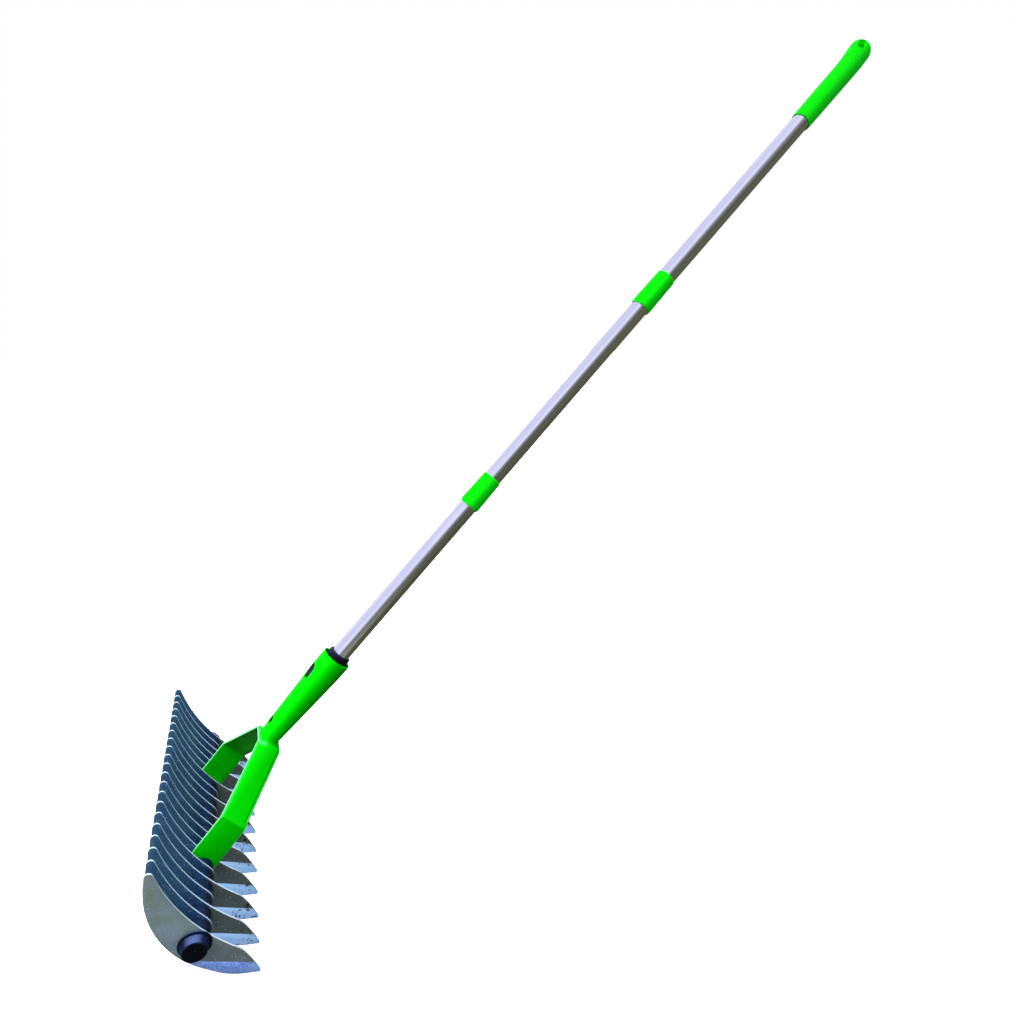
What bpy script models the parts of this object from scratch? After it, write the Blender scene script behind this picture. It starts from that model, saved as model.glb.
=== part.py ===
"""Thatch rake: a bent yoke carries a row of crescent blades on a rod, and its pole comes in three sections.

Lengths are in metres. The rod lies along X, the pole rises towards +Y and +Z, and the world's origin is the
point where the hand holds the grip.
"""

import math

import bmesh
import bpy
from mathutils import Matrix, Vector

# Clearances
SEAT_GAP = 0.0003
BORE_GAP = 0.0003

# Blades: a crescent between two arcs. Each arc's centre lies from the rod in the direction of its angle, as far as
# its radius and the steel between the rod's centre and that edge ask for.
BLADE_COUNT = 21
BLADE_PITCH = 0.0185
BLADE_THICKNESS = 0.002
HOLLOW_ARC_RADIUS = 0.2405
HOLLOW_ARC_ANGLE = math.radians(35.75)
HOLLOW_EDGE_FROM_ROD = 0.0155
BELLY_ARC_RADIUS = 0.1352
BELLY_ARC_ANGLE = math.radians(33.2)
BELLY_EDGE_FROM_ROD = 0.0216
UPPER_TIP_HEIGHT = 0.0955
UPPER_TIP_POINT = 0.0063
CHISEL_SHOULDER_REACH = 0.0425
CHISEL_BELLY_REACH = 0.012
CHISEL_BELLY_BOW = 0.0042
CHISEL_TIP = (0.0577, -0.0638)
CHISEL_TIP_RADIUS = 0.002
CHISEL_FRONT_BOW = 0.0012
GRIND_START = (0.0298, -0.0380)
GRIND_LINE_ANGLE = math.radians(-25)
GRIND_SLOPE = math.radians(4.8)

# Rod, spacers, nuts and end caps
ROD_DIAMETER = 0.012
ROD_CHAMFER = 0.001
SPACER_DIAMETER = 0.029
SPACER_CHAMFER = 0.0006
NUT_ACROSS_FLATS = 0.019
NUT_THICKNESS = 0.006
ROD_PAST_NUT = 0.0015
CAP_FLANGE_DIAMETER = 0.0344
CAP_FLANGE_THICKNESS = 0.0022
CAP_KNOB_DIAMETER = 0.0290
CAP_FACE_DIAMETER = 0.0258
CAP_LENGTH = 0.0118
CAP_EDGE = 0.0008
CAP_NUT_ROOM = 0.0004

# Yoke: one strap, bent along lines that lean a little, with its long edges rolled in above the legs
LEG_BLADES_OUT = 4
STRAP_THICKNESS = 0.0025
STRAP_WIDTH = 0.036
FORK_ANGLE = math.radians(48)
STRAP_ABOVE_ROD = 0.0023
LEG_STRAIGHT = 0.0658
FORK_REACH = 0.1411
STRAP_LEAN = math.radians(6.5)
PLATE_WIDTH = 0.0338
STRAP_BEND_RADIUS = 0.0045
ROLLED_EDGE_WIDTH = 0.0045
ROLLED_EDGE_DROP = 0.0022
ROLL_RUN_IN = 0.012
STRAP_EDGE_ROUND = 0.0005

# Socket: a rolled cone welded on the yoke's plate
POLE_ANGLE = math.radians(45.5)
SOCKET_ABOVE_STRAP = 0.002
SOCKET_LENGTH = 0.1357
SOCKET_WALL = 0.0016
SOCKET_MOUTH_DIAMETER = 0.0410
SOCKET_COLLAR_DIAMETER = 0.0401
SOCKET_COLLAR_LENGTH = 0.025
SOCKET_FOOT_DIAMETER = 0.0278
WELD_HEIGHT = 0.0045
WELD_WIDTH = 0.0022
LATCH_TURN = math.radians(5)
LATCH_SLOT_BELOW_MOUTH = 0.0324
LATCH_SLOT_LENGTH = 0.0225
LATCH_SLOT_WIDTH = 0.0136
DRAIN_HOLE_CENTRE = 0.0225
DRAIN_HOLE_DIAMETER = 0.0115

# Pole sections
TUBE_DIAMETER = 0.025
TUBE_WALL = 0.0008
TUBE_LENGTH = 0.3553
TUBE_IN_SOCKET = 0.0622
INSERT_DEPTH = 0.0857
INSERT_NOSE_BORE = 0.021
INSERT_CONE_BELOW_MOUTH = 0.011
INSERT_COLLAR_DIAMETER = 0.0312
INSERT_COLLAR_PROUD = 0.008
INSERT_EDGE = 0.0012
BUTTON_LENGTH = 0.0190
BUTTON_WIDTH = 0.0104
BUTTON_TOP = 0.0174
BUTTON_THICKNESS = 0.0018
BUTTON_TRAVEL = 0.0018
BUTTON_EDGE = 0.0007

# Couplers and the threaded plugs that screw into them
COUPLER_LENGTHS = (0.0504, 0.0576)
COUPLER_FOOT_DIAMETER = 0.0292
COUPLER_TOP_DIAMETER = 0.0274
COUPLER_TOP_EDGE = 0.0008
COUPLER_FOOT_ROUND_WIDTH = 0.0015
COUPLER_FOOT_ROUND_LENGTH = 0.0046
COUPLER_TOP_DEPTH = 0.0094
COUPLER_WEB = 0.015
THREAD_DIAMETER = 0.0206
THREAD_DEPTH = 0.0009
THREAD_PITCH = 0.0027
THREAD_TURNS = 5
PLUG_SHANK_LENGTH = 0.020

# Hand grip: its head leans square to its hang hole
GRIP_TUBE_DEPTH = 0.0468
GRIP_LENGTH = 0.1512
GRIP_FOOT_DIAMETER = 0.0284
GRIP_WAIST_DIAMETER = 0.0292
GRIP_HEAD_DIAMETER = 0.0316
GRIP_EDGE = 0.0008
GRIP_BEND_START = 0.094
GRIP_BEND_SHIFT = 0.0024
GRIP_END_ROUND = 0.012
GRIP_TURN = math.radians(50)
HANG_HOLE_DIAMETER = 0.0080
HANG_HOLE_MOUTH_DIAMETER = 0.0152
HANG_HOLE_MOUTH_DEPTH = 0.0045
HANG_HOLE_FROM_END = 0.0142

# Smoothness of round pieces
POLE_STEPS = 40
SPACER_STEPS = 24
CAP_STEPS = 36
HOLE_STEPS = 24
SHARP_ANGLE = math.radians(32)
MERGE_DISTANCE = 0.00001

# Sizes that follow from the ones above
HOLLOW_ARC_AWAY = HOLLOW_ARC_RADIUS + HOLLOW_EDGE_FROM_ROD
HOLLOW_ARC_CENTRE = (HOLLOW_ARC_AWAY * math.cos(HOLLOW_ARC_ANGLE), HOLLOW_ARC_AWAY * math.sin(HOLLOW_ARC_ANGLE))
BELLY_ARC_AWAY = BELLY_ARC_RADIUS - BELLY_EDGE_FROM_ROD
BELLY_ARC_CENTRE = (BELLY_ARC_AWAY * math.cos(BELLY_ARC_ANGLE), BELLY_ARC_AWAY * math.sin(BELLY_ARC_ANGLE))
HALF_STACK = (BLADE_COUNT - 1) / 2 * BLADE_PITCH + BLADE_THICKNESS / 2
LEG_FACE = LEG_BLADES_OUT * BLADE_PITCH + BLADE_THICKNESS / 2 + SEAT_GAP + STRAP_THICKNESS
ROD_HALF = HALF_STACK + SEAT_GAP + NUT_THICKNESS + ROD_PAST_NUT
LATCH_SLOT_CENTRE = SOCKET_LENGTH - LATCH_SLOT_BELOW_MOUTH
TUBE_START = SOCKET_LENGTH - TUBE_IN_SOCKET
INSERT_NOSE = SOCKET_LENGTH - INSERT_DEPTH
INSERT_CONE_END = SOCKET_LENGTH - INSERT_CONE_BELOW_MOUTH
TUBE_RADIUS = TUBE_DIAMETER / 2
TUBE_BORE_RADIUS = TUBE_RADIUS + BORE_GAP
TUBE_INNER_RADIUS = TUBE_RADIUS - TUBE_WALL
SECTION_STEP = TUBE_LENGTH + 2 * SEAT_GAP + COUPLER_WEB
TUBE_STARTS = [TUBE_START + n * SECTION_STEP for n in range(3)]
COUPLER_TUBE_DEPTHS = [length - COUPLER_TOP_DEPTH - COUPLER_WEB - 2 * SEAT_GAP for length in COUPLER_LENGTHS]
COUPLER_STARTS = [start + TUBE_LENGTH - depth for start, depth in zip(TUBE_STARTS, COUPLER_TUBE_DEPTHS)]
GRIP_START = TUBE_STARTS[2] + TUBE_LENGTH - GRIP_TUBE_DEPTH
HAND_HOLD = GRIP_START + GRIP_LENGTH / 2

# How each kind of piece is turned: a flat outline's x and y lie along Y and Z, a turned piece's axis along X
BLADE_TURN = (math.pi / 2, 0, math.pi / 2)
ALONG_ROD = (0, math.pi / 2, 0)
AGAINST_ROD = (0, -math.pi / 2, 0)


def new_collection(name):
    collection = bpy.data.collections.new(name)
    bpy.context.scene.collection.children.link(collection)
    return collection


def new_material(name, colour, roughness, metallic):
    material = bpy.data.materials.new(name)
    material.use_nodes = True
    shader = material.node_tree.nodes["Principled BSDF"]
    shader.inputs["Base Color"].default_value = (*colour, 1)
    shader.inputs["Roughness"].default_value = roughness
    shader.inputs["Metallic"].default_value = metallic
    material.diffuse_color = (*colour, 1)
    return material


def new_object(name, data, collection, parent=None, location=(0, 0, 0), rotation=(0, 0, 0)):
    made = bpy.data.objects.new(name, data)
    collection.objects.link(made)
    made.parent = parent
    made.location = location
    made.rotation_euler = rotation
    return made


def to_mesh(source):
    """The evaluated shape of an object as a mesh of its own, with doubled points welded."""
    bpy.context.view_layer.update()
    evaluated = source.evaluated_get(bpy.context.evaluated_depsgraph_get())
    mesh = bpy.data.meshes.new_from_object(evaluated)
    shape = bmesh.new()
    shape.from_mesh(mesh)
    bmesh.ops.remove_doubles(shape, verts=shape.verts, dist=MERGE_DISTANCE)
    shape.to_mesh(mesh)
    shape.free()
    return mesh


def flat_mesh(name, outlines, thickness):
    """A flat plate on z = 0 from closed outlines, the first one outside and the others holes."""
    curve = bpy.data.curves.new(name, "CURVE")
    curve.dimensions = "2D"
    curve.fill_mode = "BOTH"
    curve.extrude = thickness / 2
    for outline in outlines:
        spline = curve.splines.new("POLY")
        spline.points.add(len(outline) - 1)
        for point, (x, y) in zip(spline.points, outline):
            point.co = (x, y, 0, 1)
        spline.use_cyclic_u = True
    drawn = new_object(name + "_outline", curve, guides)
    mesh = to_mesh(drawn)
    mesh.name = name
    bpy.data.objects.remove(drawn)
    bpy.data.curves.remove(curve)
    return mesh


def turned_mesh(name, profile, closed):
    """The profile of a turned piece: (radius, height) points, down the outer side first."""
    mesh = bpy.data.meshes.new(name)
    points = [(radius, 0, height) for radius, height in profile]
    edges = [(n, n + 1) for n in range(len(points) - 1)]
    if closed:
        edges.append((len(points) - 1, 0))
    mesh.from_pydata(points, edges, [])
    return mesh


def add_screw(made, steps):
    screw = made.modifiers.new("Turn", "SCREW")
    screw.steps = steps
    screw.render_steps = steps
    screw.use_merge_vertices = True
    screw.merge_threshold = MERGE_DISTANCE
    return screw


def turned(name, profile, steps, parent, material, closed=True, location=(0, 0, 0), rotation=(0, 0, 0)):
    made = new_object(name, turned_mesh(name, profile, closed), rake, parent, location, rotation)
    made.data.materials.append(material)
    add_screw(made, steps)
    return made


def cutter_object(name, mesh, parent=None, location=(0, 0, 0), rotation=(0, 0, 0)):
    made = new_object(name, mesh, guides, parent, location, rotation)
    made.hide_render = True
    made.display_type = "WIRE"
    return made


def cut(target, cutter):
    boolean = target.modifiers.new("Cut " + cutter.name, "BOOLEAN")
    boolean.operation = "DIFFERENCE"
    boolean.object = cutter


def cylinder_mesh(name, radius, length, steps=HOLE_STEPS, end_radius=None):
    """A round cutter centred on the origin, along Z; end_radius makes it a cone that widens upwards."""
    mesh = bpy.data.meshes.new(name)
    shape = bmesh.new()
    top = radius if end_radius is None else end_radius
    bmesh.ops.create_cone(
        shape, cap_ends=True, segments=steps, radius1=radius, radius2=top, depth=length
    )
    shape.to_mesh(mesh)
    shape.free()
    return mesh


def box_mesh(name, low, high):
    mesh = bpy.data.meshes.new(name)
    shape = bmesh.new()
    bmesh.ops.create_cube(shape, size=1)
    size = [b - a for a, b in zip(low, high)]
    middle = [(a + b) / 2 for a, b in zip(low, high)]
    bmesh.ops.scale(shape, vec=size, verts=shape.verts)
    bmesh.ops.translate(shape, vec=middle, verts=shape.verts)
    shape.to_mesh(mesh)
    shape.free()
    return mesh


def arc(centre, radius, start, end, steps):
    """Points on an arc, both ends included."""
    angles = [start + (end - start) * n / steps for n in range(steps + 1)]
    return [(centre[0] + radius * math.cos(a), centre[1] + radius * math.sin(a)) for a in angles]


def angle_between(centre, point):
    return math.atan2(point[1] - centre[1], point[0] - centre[0]) % math.tau


def left_side_at(centre, radius, height):
    """The left point of a circle at a height."""
    return (centre[0] - math.sqrt(radius**2 - (height - centre[1]) ** 2), height)


def lower_side_at(centre, radius, reach):
    """The lower point of a circle at a reach."""
    return (reach, centre[1] - math.sqrt(radius**2 - (reach - centre[0]) ** 2))


def bowed(start, end, bow, steps):
    """Inner points of a line that bulges to its left by bow."""
    along = Vector(end) - Vector(start)
    side = Vector((-along.y, along.x)).normalized()
    shares = [n / steps for n in range(1, steps)]
    points = [Vector(start) + along * t + side * bow * 4 * t * (1 - t) for t in shares]
    return [tuple(point) for point in points]


def stadium(length, width, steps):
    """A slot outline centred on the origin, long in y."""
    radius = width / 2
    straight = length / 2 - radius
    upper = arc((0, straight), radius, 0, math.pi, steps)
    lower = arc((0, -straight), radius, math.pi, math.tau, steps)
    return upper + lower


def rod_hole():
    return arc((0, 0), ROD_DIAMETER / 2 + BORE_GAP, 0, math.tau * (1 - 1 / HOLE_STEPS), HOLE_STEPS - 1)


def upper_tip():
    """The narrow tip, half an oval from the belly's side over the top to the hollow side."""
    belly = left_side_at(BELLY_ARC_CENTRE, BELLY_ARC_RADIUS, UPPER_TIP_HEIGHT)
    hollow = left_side_at(HOLLOW_ARC_CENTRE, HOLLOW_ARC_RADIUS, UPPER_TIP_HEIGHT)
    middle = (belly[0] + hollow[0]) / 2
    half = (hollow[0] - belly[0]) / 2
    dome = arc((0, 0), 1, math.pi, 0, 8)
    return [(middle + half * x, UPPER_TIP_HEIGHT + UPPER_TIP_POINT * y) for x, y in dome]


def long_blade_outline():
    tip = upper_tip()
    shoulder = lower_side_at(HOLLOW_ARC_CENTRE, HOLLOW_ARC_RADIUS, CHISEL_SHOULDER_REACH)
    heel = lower_side_at(BELLY_ARC_CENTRE, BELLY_ARC_RADIUS, CHISEL_BELLY_REACH)
    hollow = arc(
        HOLLOW_ARC_CENTRE,
        HOLLOW_ARC_RADIUS,
        angle_between(HOLLOW_ARC_CENTRE, tip[-1]),
        angle_between(HOLLOW_ARC_CENTRE, shoulder),
        13,
    )
    nose = arc(CHISEL_TIP, CHISEL_TIP_RADIUS, math.radians(20), math.radians(-95), 4)
    front = bowed(shoulder, nose[0], CHISEL_FRONT_BOW, 4)
    under = bowed(nose[-1], heel, CHISEL_BELLY_BOW, 6)
    belly = arc(
        BELLY_ARC_CENTRE,
        BELLY_ARC_RADIUS,
        angle_between(BELLY_ARC_CENTRE, heel),
        angle_between(BELLY_ARC_CENTRE, tip[0]),
        13,
    )
    return tip[1:-1] + hollow + front + nose + under + belly


def short_blade_outline():
    """The upper part of the same crescent, closed by a round end that touches both arcs at the rod."""
    tip = upper_tip()
    outer = Vector(HOLLOW_ARC_CENTRE)
    inner = Vector(BELLY_ARC_CENTRE)
    towards_rod = -outer.normalized()
    between = inner - outer
    shadow = towards_rod.dot(between)
    squares = BELLY_ARC_RADIUS**2 - HOLLOW_ARC_RADIUS**2 - between.length_squared
    radius = (squares + 2 * HOLLOW_ARC_RADIUS * shadow) / (2 * (HOLLOW_ARC_RADIUS + BELLY_ARC_RADIUS - shadow))
    centre = outer + towards_rod * (HOLLOW_ARC_RADIUS + radius)
    outward = centre - inner
    end_angle = math.atan2(outward.y, outward.x)
    start_angle = math.atan2(-towards_rod.y, -towards_rod.x)
    hollow = arc(
        HOLLOW_ARC_CENTRE,
        HOLLOW_ARC_RADIUS,
        angle_between(HOLLOW_ARC_CENTRE, tip[-1]),
        angle_between(HOLLOW_ARC_CENTRE, (0, 0)),
        8,
    )
    round_end = arc(centre, radius, start_angle, end_angle, 12)
    belly = arc(
        BELLY_ARC_CENTRE,
        BELLY_ARC_RADIUS,
        angle_between(BELLY_ARC_CENTRE, tuple(centre)),
        angle_between(BELLY_ARC_CENTRE, tip[0]),
        10,
    )
    return tip[1:-1] + hollow + round_end[1:-1] + belly


def ground_blade_mesh():
    """A long blade with the flat grind that sharpens its chisel end from the +X side."""
    blank = new_object("blade_blank", flat_mesh("long_blade", [long_blade_outline(), rod_hole()], BLADE_THICKNESS), guides)
    room = BELLY_ARC_RADIUS
    wheel = cutter_object("grind_cutter", box_mesh("grind_cutter", (-room, 0, 0), (room, room, room)))
    wheel.matrix_world = (
        Matrix.Translation((*GRIND_START, BLADE_THICKNESS / 2))
        @ Matrix.Rotation(GRIND_LINE_ANGLE + math.pi, 4, "Z")
        @ Matrix.Rotation(-GRIND_SLOPE, 4, "X")
    )
    cut(blank, wheel)
    mesh = to_mesh(blank)
    mesh.name = "long_blade_ground"
    bpy.data.objects.remove(blank)
    return mesh


def make_blades():
    """Odd blades have both ends and even ones stop at the rod."""
    long_mesh = ground_blade_mesh()
    short_mesh = flat_mesh("short_blade", [short_blade_outline(), rod_hole()], BLADE_THICKNESS)
    for mesh in (long_mesh, short_mesh):
        mesh.materials.clear()
        mesh.materials.append(blade_steel)
    for n in range(BLADE_COUNT):
        mesh = short_mesh if n % 2 else long_mesh
        place = (n - (BLADE_COUNT - 1) / 2) * BLADE_PITCH
        new_object(f"blade_{n + 1:02d}", mesh, rake, head, (place, 0, 0), BLADE_TURN)


def make_spacers():
    """One black sleeve in each gap, shorter where a leg of the yoke shares the gap."""
    outer = SPACER_DIAMETER / 2
    inner = ROD_DIAMETER / 2 + BORE_GAP
    middle = (BLADE_COUNT - 1) / 2
    for n in range(BLADE_COUNT - 1):
        low = (n - middle) * BLADE_PITCH + BLADE_THICKNESS / 2 + SEAT_GAP
        high = low + BLADE_PITCH - BLADE_THICKNESS - 2 * SEAT_GAP
        if n == middle + LEG_BLADES_OUT:
            low = LEG_FACE + SEAT_GAP
        if n == middle - LEG_BLADES_OUT - 1:
            high = -LEG_FACE - SEAT_GAP
        length = high - low
        profile = [
            (outer - SPACER_CHAMFER, length),
            (outer, length - SPACER_CHAMFER),
            (outer, SPACER_CHAMFER),
            (outer - SPACER_CHAMFER, 0),
            (inner, 0),
            (inner, length),
        ]
        turned(f"spacer_{n + 1:02d}", profile, SPACER_STEPS, head, black_plastic, True, (low, 0, 0), ALONG_ROD)


def make_rod_and_ends():
    radius = ROD_DIAMETER / 2
    rod = [
        (0, ROD_HALF),
        (radius - ROD_CHAMFER, ROD_HALF),
        (radius, ROD_HALF - ROD_CHAMFER),
        (radius, ROD_CHAMFER - ROD_HALF),
        (radius - ROD_CHAMFER, -ROD_HALF),
        (0, -ROD_HALF),
    ]
    turned("tie_rod", rod, HOLE_STEPS, head, zinc_steel, False, (0, 0, 0), ALONG_ROD)
    nut_corner = NUT_ACROSS_FLATS / math.sqrt(3)
    room = nut_corner + CAP_NUT_ROOM
    depth = NUT_THICKNESS + ROD_PAST_NUT + SEAT_GAP
    flange = CAP_FLANGE_DIAMETER / 2
    knob = CAP_KNOB_DIAMETER / 2
    face = CAP_FACE_DIAMETER / 2
    cap = [
        (0, CAP_LENGTH),
        (face - CAP_EDGE, CAP_LENGTH),
        (face, CAP_LENGTH - CAP_EDGE),
        (knob, CAP_FLANGE_THICKNESS + CAP_EDGE),
        (knob + CAP_EDGE, CAP_FLANGE_THICKNESS),
        (flange - CAP_EDGE, CAP_FLANGE_THICKNESS),
        (flange, CAP_FLANGE_THICKNESS - CAP_EDGE),
        (flange, CAP_EDGE / 2),
        (flange - CAP_EDGE / 2, 0),
        (room, 0),
        (room, depth),
        (0, depth),
    ]
    hexagon = arc((0, 0), nut_corner, 0, math.tau * 5 / 6, 5)
    for name, side, turn in (("far", -1, AGAINST_ROD), ("near", 1, ALONG_ROD)):
        seat = side * (HALF_STACK + SEAT_GAP)
        nut_middle = side * (HALF_STACK + SEAT_GAP + NUT_THICKNESS / 2)
        nut = new_object(f"nut_{name}", flat_mesh(f"nut_{name}", [hexagon, rod_hole()], NUT_THICKNESS), rake)
        nut.parent = head
        nut.location = (nut_middle, 0, 0)
        nut.rotation_euler = BLADE_TURN
        nut.data.materials.clear()
        nut.data.materials.append(zinc_steel)
        turned(f"end_cap_{name}", cap, CAP_STEPS, head, black_plastic, False, (seat, 0, 0), turn)


def filleted(points, radius, steps):
    """A path with its inner corners rounded."""
    path = [Vector(points[0])]
    for before, corner, after in zip(points, points[1:], points[2:]):
        corner = Vector(corner)
        back = (Vector(before) - corner).normalized()
        on = (Vector(after) - corner).normalized()
        half = back.angle(on) / 2
        centre = corner + (back + on).normalized() * radius / math.sin(half)
        start = corner + back * radius / math.tan(half) - centre
        end = corner + on * radius / math.tan(half) - centre
        for n in range(steps + 1):
            spoke = start.lerp(end, n / steps)
            path.append(centre + spoke.normalized() * radius)
    path.append(Vector(points[-1]))
    return path


def strap_stations():
    """Stations on the strap's outer face from the plate's middle to a leg's end.

    Each is (x, along the fork, tangent angle, width share, roll share, lean share).
    """
    corners = [
        (0, FORK_REACH),
        (PLATE_WIDTH / 2, FORK_REACH),
        (LEG_FACE, LEG_STRAIGHT),
        (LEG_FACE, 0),
    ]
    path = filleted(corners, STRAP_BEND_RADIUS, 4)
    slope_end = path[-2]
    stations = []
    for n, point in enumerate(path):
        before = path[max(n - 1, 0)]
        after = path[min(n + 1, len(path) - 1)]
        tangent = after - before
        roll = min(max((point.y - slope_end.y) / ROLL_RUN_IN, 0), 1)
        lean = 1 if point.y > 0 else 0
        stations.append((point.x, point.y, math.atan2(tangent.y, tangent.x), 1, roll, lean))
    for n in range(1, 8):
        turn = math.radians(12 * n)
        stations.append((LEG_FACE, -STRAP_WIDTH / 2 * math.sin(turn), -math.pi / 2, math.cos(turn), 0, 0))
    return stations


def make_yoke():
    half = STRAP_WIDTH / 2
    flat = half - ROLLED_EDGE_WIDTH
    across = [
        (-half, ROLLED_EDGE_DROP),
        (-flat, 0),
        (0, 0),
        (flat, 0),
        (half, ROLLED_EDGE_DROP),
    ]
    shape = bmesh.new()
    rows = []
    for x, along, angle, width, roll, lean in strap_stations():
        inward = Vector((math.sin(angle), -math.cos(angle)))
        row = []
        for side, drop in across:
            sunk = inward * drop * roll
            leant = along + side * math.tan(STRAP_LEAN) * lean
            row.append(shape.verts.new((x + sunk.x * (x > 0), leant + sunk.y, side * width)))
        rows.append(row)
    for row, following in zip(rows, rows[1:]):
        for n in range(len(across) - 1):
            shape.faces.new((row[n], row[n + 1], following[n + 1], following[n]))
    mesh = bpy.data.meshes.new("yoke")
    shape.to_mesh(mesh)
    shape.free()
    yoke = new_object("yoke", mesh, rake, fork, (0, 0, STRAP_ABOVE_ROD))
    mesh.materials.append(green_paint)
    mirror = yoke.modifiers.new("Other leg", "MIRROR")
    mirror.use_axis = (True, False, False)
    mirror.merge_threshold = MERGE_DISTANCE
    sheet = yoke.modifiers.new("Sheet", "SOLIDIFY")
    sheet.thickness = STRAP_THICKNESS
    sheet.offset = -1
    sheet.use_even_offset = True
    edges = yoke.modifiers.new("Round edges", "BEVEL")
    edges.width = STRAP_EDGE_ROUND
    edges.segments = 2
    edges.limit_method = "ANGLE"
    edges.angle_limit = math.radians(50)
    hole = cylinder_mesh("rod_hole_cutter", ROD_DIAMETER / 2 + BORE_GAP, 3 * LEG_FACE)
    cut(yoke, cutter_object("rod_hole_cutter", hole, head, (0, 0, 0), ALONG_ROD))


def socket_radius(height):
    """Outer radius of the cone at a height above the plate."""
    cone_top = SOCKET_LENGTH - SOCKET_COLLAR_LENGTH
    if height > cone_top:
        share = (height - cone_top) / SOCKET_COLLAR_LENGTH
        return (SOCKET_COLLAR_DIAMETER + (SOCKET_MOUTH_DIAMETER - SOCKET_COLLAR_DIAMETER) * share) / 2
    share = height / cone_top
    return (SOCKET_FOOT_DIAMETER + (SOCKET_COLLAR_DIAMETER - SOCKET_FOOT_DIAMETER) * share) / 2


def make_socket():
    cone_top = SOCKET_LENGTH - SOCKET_COLLAR_LENGTH
    foot = socket_radius(0)
    below = -WELD_HEIGHT
    profile = [
        (socket_radius(SOCKET_LENGTH), SOCKET_LENGTH),
        (socket_radius(cone_top), cone_top),
        (socket_radius(WELD_HEIGHT), WELD_HEIGHT),
        (foot + WELD_WIDTH / 3, WELD_HEIGHT / 3),
        (foot + WELD_WIDTH, SEAT_GAP),
        (foot + WELD_WIDTH, below),
        (foot - SOCKET_WALL, below),
        (foot - SOCKET_WALL, 0),
        (socket_radius(cone_top) - SOCKET_WALL, cone_top),
        (socket_radius(SOCKET_LENGTH) - SOCKET_WALL, SOCKET_LENGTH),
    ]
    socket = turned("socket", profile, POLE_STEPS, pole, green_paint)
    room = SOCKET_MOUTH_DIAMETER
    plate = box_mesh("plate_trim", (-room, -room, -room), (room, SEAT_GAP, room))
    cut(socket, cutter_object("plate_trim", plate, fork, (0, FORK_REACH, STRAP_ABOVE_ROD), (-STRAP_LEAN, 0, 0)))
    slot = flat_mesh("latch_slot_cutter", [stadium(LATCH_SLOT_LENGTH, LATCH_SLOT_WIDTH, 8)], room)
    at = (0, -room / 2, LATCH_SLOT_CENTRE)
    cut(socket, cutter_object("latch_slot_cutter", slot, latch, at, (math.pi / 2, 0, 0)))
    drain = cylinder_mesh("drain_cutter", DRAIN_HOLE_DIAMETER / 2, room, 16)
    at = (0, -room / 2, DRAIN_HOLE_CENTRE)
    cut(socket, cutter_object("drain_cutter", drain, pole, at, (math.pi / 2, 0, 0)))


def make_insert_and_button():
    def fit(height):
        return socket_radius(height) - SOCKET_WALL - SEAT_GAP

    collar = INSERT_COLLAR_DIAMETER / 2
    top = SOCKET_LENGTH + INSERT_COLLAR_PROUD
    cone_top = SOCKET_LENGTH - SOCKET_COLLAR_LENGTH
    shoulder = TUBE_START - SEAT_GAP
    profile = [
        (collar - INSERT_EDGE, top),
        (collar, top - INSERT_EDGE),
        (collar, INSERT_CONE_END),
        (fit(INSERT_CONE_END) - INSERT_EDGE, INSERT_CONE_END),
        (fit(INSERT_CONE_END - INSERT_EDGE), INSERT_CONE_END - INSERT_EDGE),
        (fit(cone_top), cone_top),
        (fit(INSERT_NOSE + INSERT_EDGE), INSERT_NOSE + INSERT_EDGE),
        (fit(INSERT_NOSE) - INSERT_EDGE, INSERT_NOSE),
        (INSERT_NOSE_BORE / 2, INSERT_NOSE),
        (INSERT_NOSE_BORE / 2, shoulder),
        (TUBE_BORE_RADIUS, shoulder),
        (TUBE_BORE_RADIUS, top),
    ]
    insert = turned("pole_insert", profile, POLE_STEPS, pole, black_plastic)
    button_middle = BUTTON_TOP - BUTTON_THICKNESS / 2
    floor = BUTTON_TOP - BUTTON_THICKNESS - BUTTON_TRAVEL - SEAT_GAP
    pocket_outline = stadium(BUTTON_LENGTH + 2 * SEAT_GAP, BUTTON_WIDTH + 2 * SEAT_GAP, 8)
    pocket = flat_mesh("button_pocket_cutter", [pocket_outline], TUBE_DIAMETER)
    at = (0, -floor - TUBE_DIAMETER / 2, LATCH_SLOT_CENTRE)
    cut(insert, cutter_object("button_pocket_cutter", pocket, latch, at, (math.pi / 2, 0, 0)))
    pad = flat_mesh("lock_button", [stadium(BUTTON_LENGTH, BUTTON_WIDTH, 8)], BUTTON_THICKNESS)
    at = (0, -button_middle, LATCH_SLOT_CENTRE)
    button = new_object("lock_button", pad, rake, latch, at, (math.pi / 2, 0, 0))
    pad.materials.clear()
    pad.materials.append(button_plastic)
    edges = button.modifiers.new("Round edges", "BEVEL")
    edges.width = BUTTON_EDGE
    edges.segments = 2
    edges.limit_method = "ANGLE"
    edges.angle_limit = math.radians(50)


def make_tubes():
    names = ("lower_tube", "middle_tube", "upper_tube")
    for name, start in zip(names, TUBE_STARTS):
        profile = [
            (TUBE_RADIUS, TUBE_LENGTH),
            (TUBE_RADIUS, 0),
            (TUBE_INNER_RADIUS, 0),
            (TUBE_INNER_RADIUS, TUBE_LENGTH),
        ]
        turned(name, profile, POLE_STEPS, pole, stainless, True, (0, 0, start))


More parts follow.
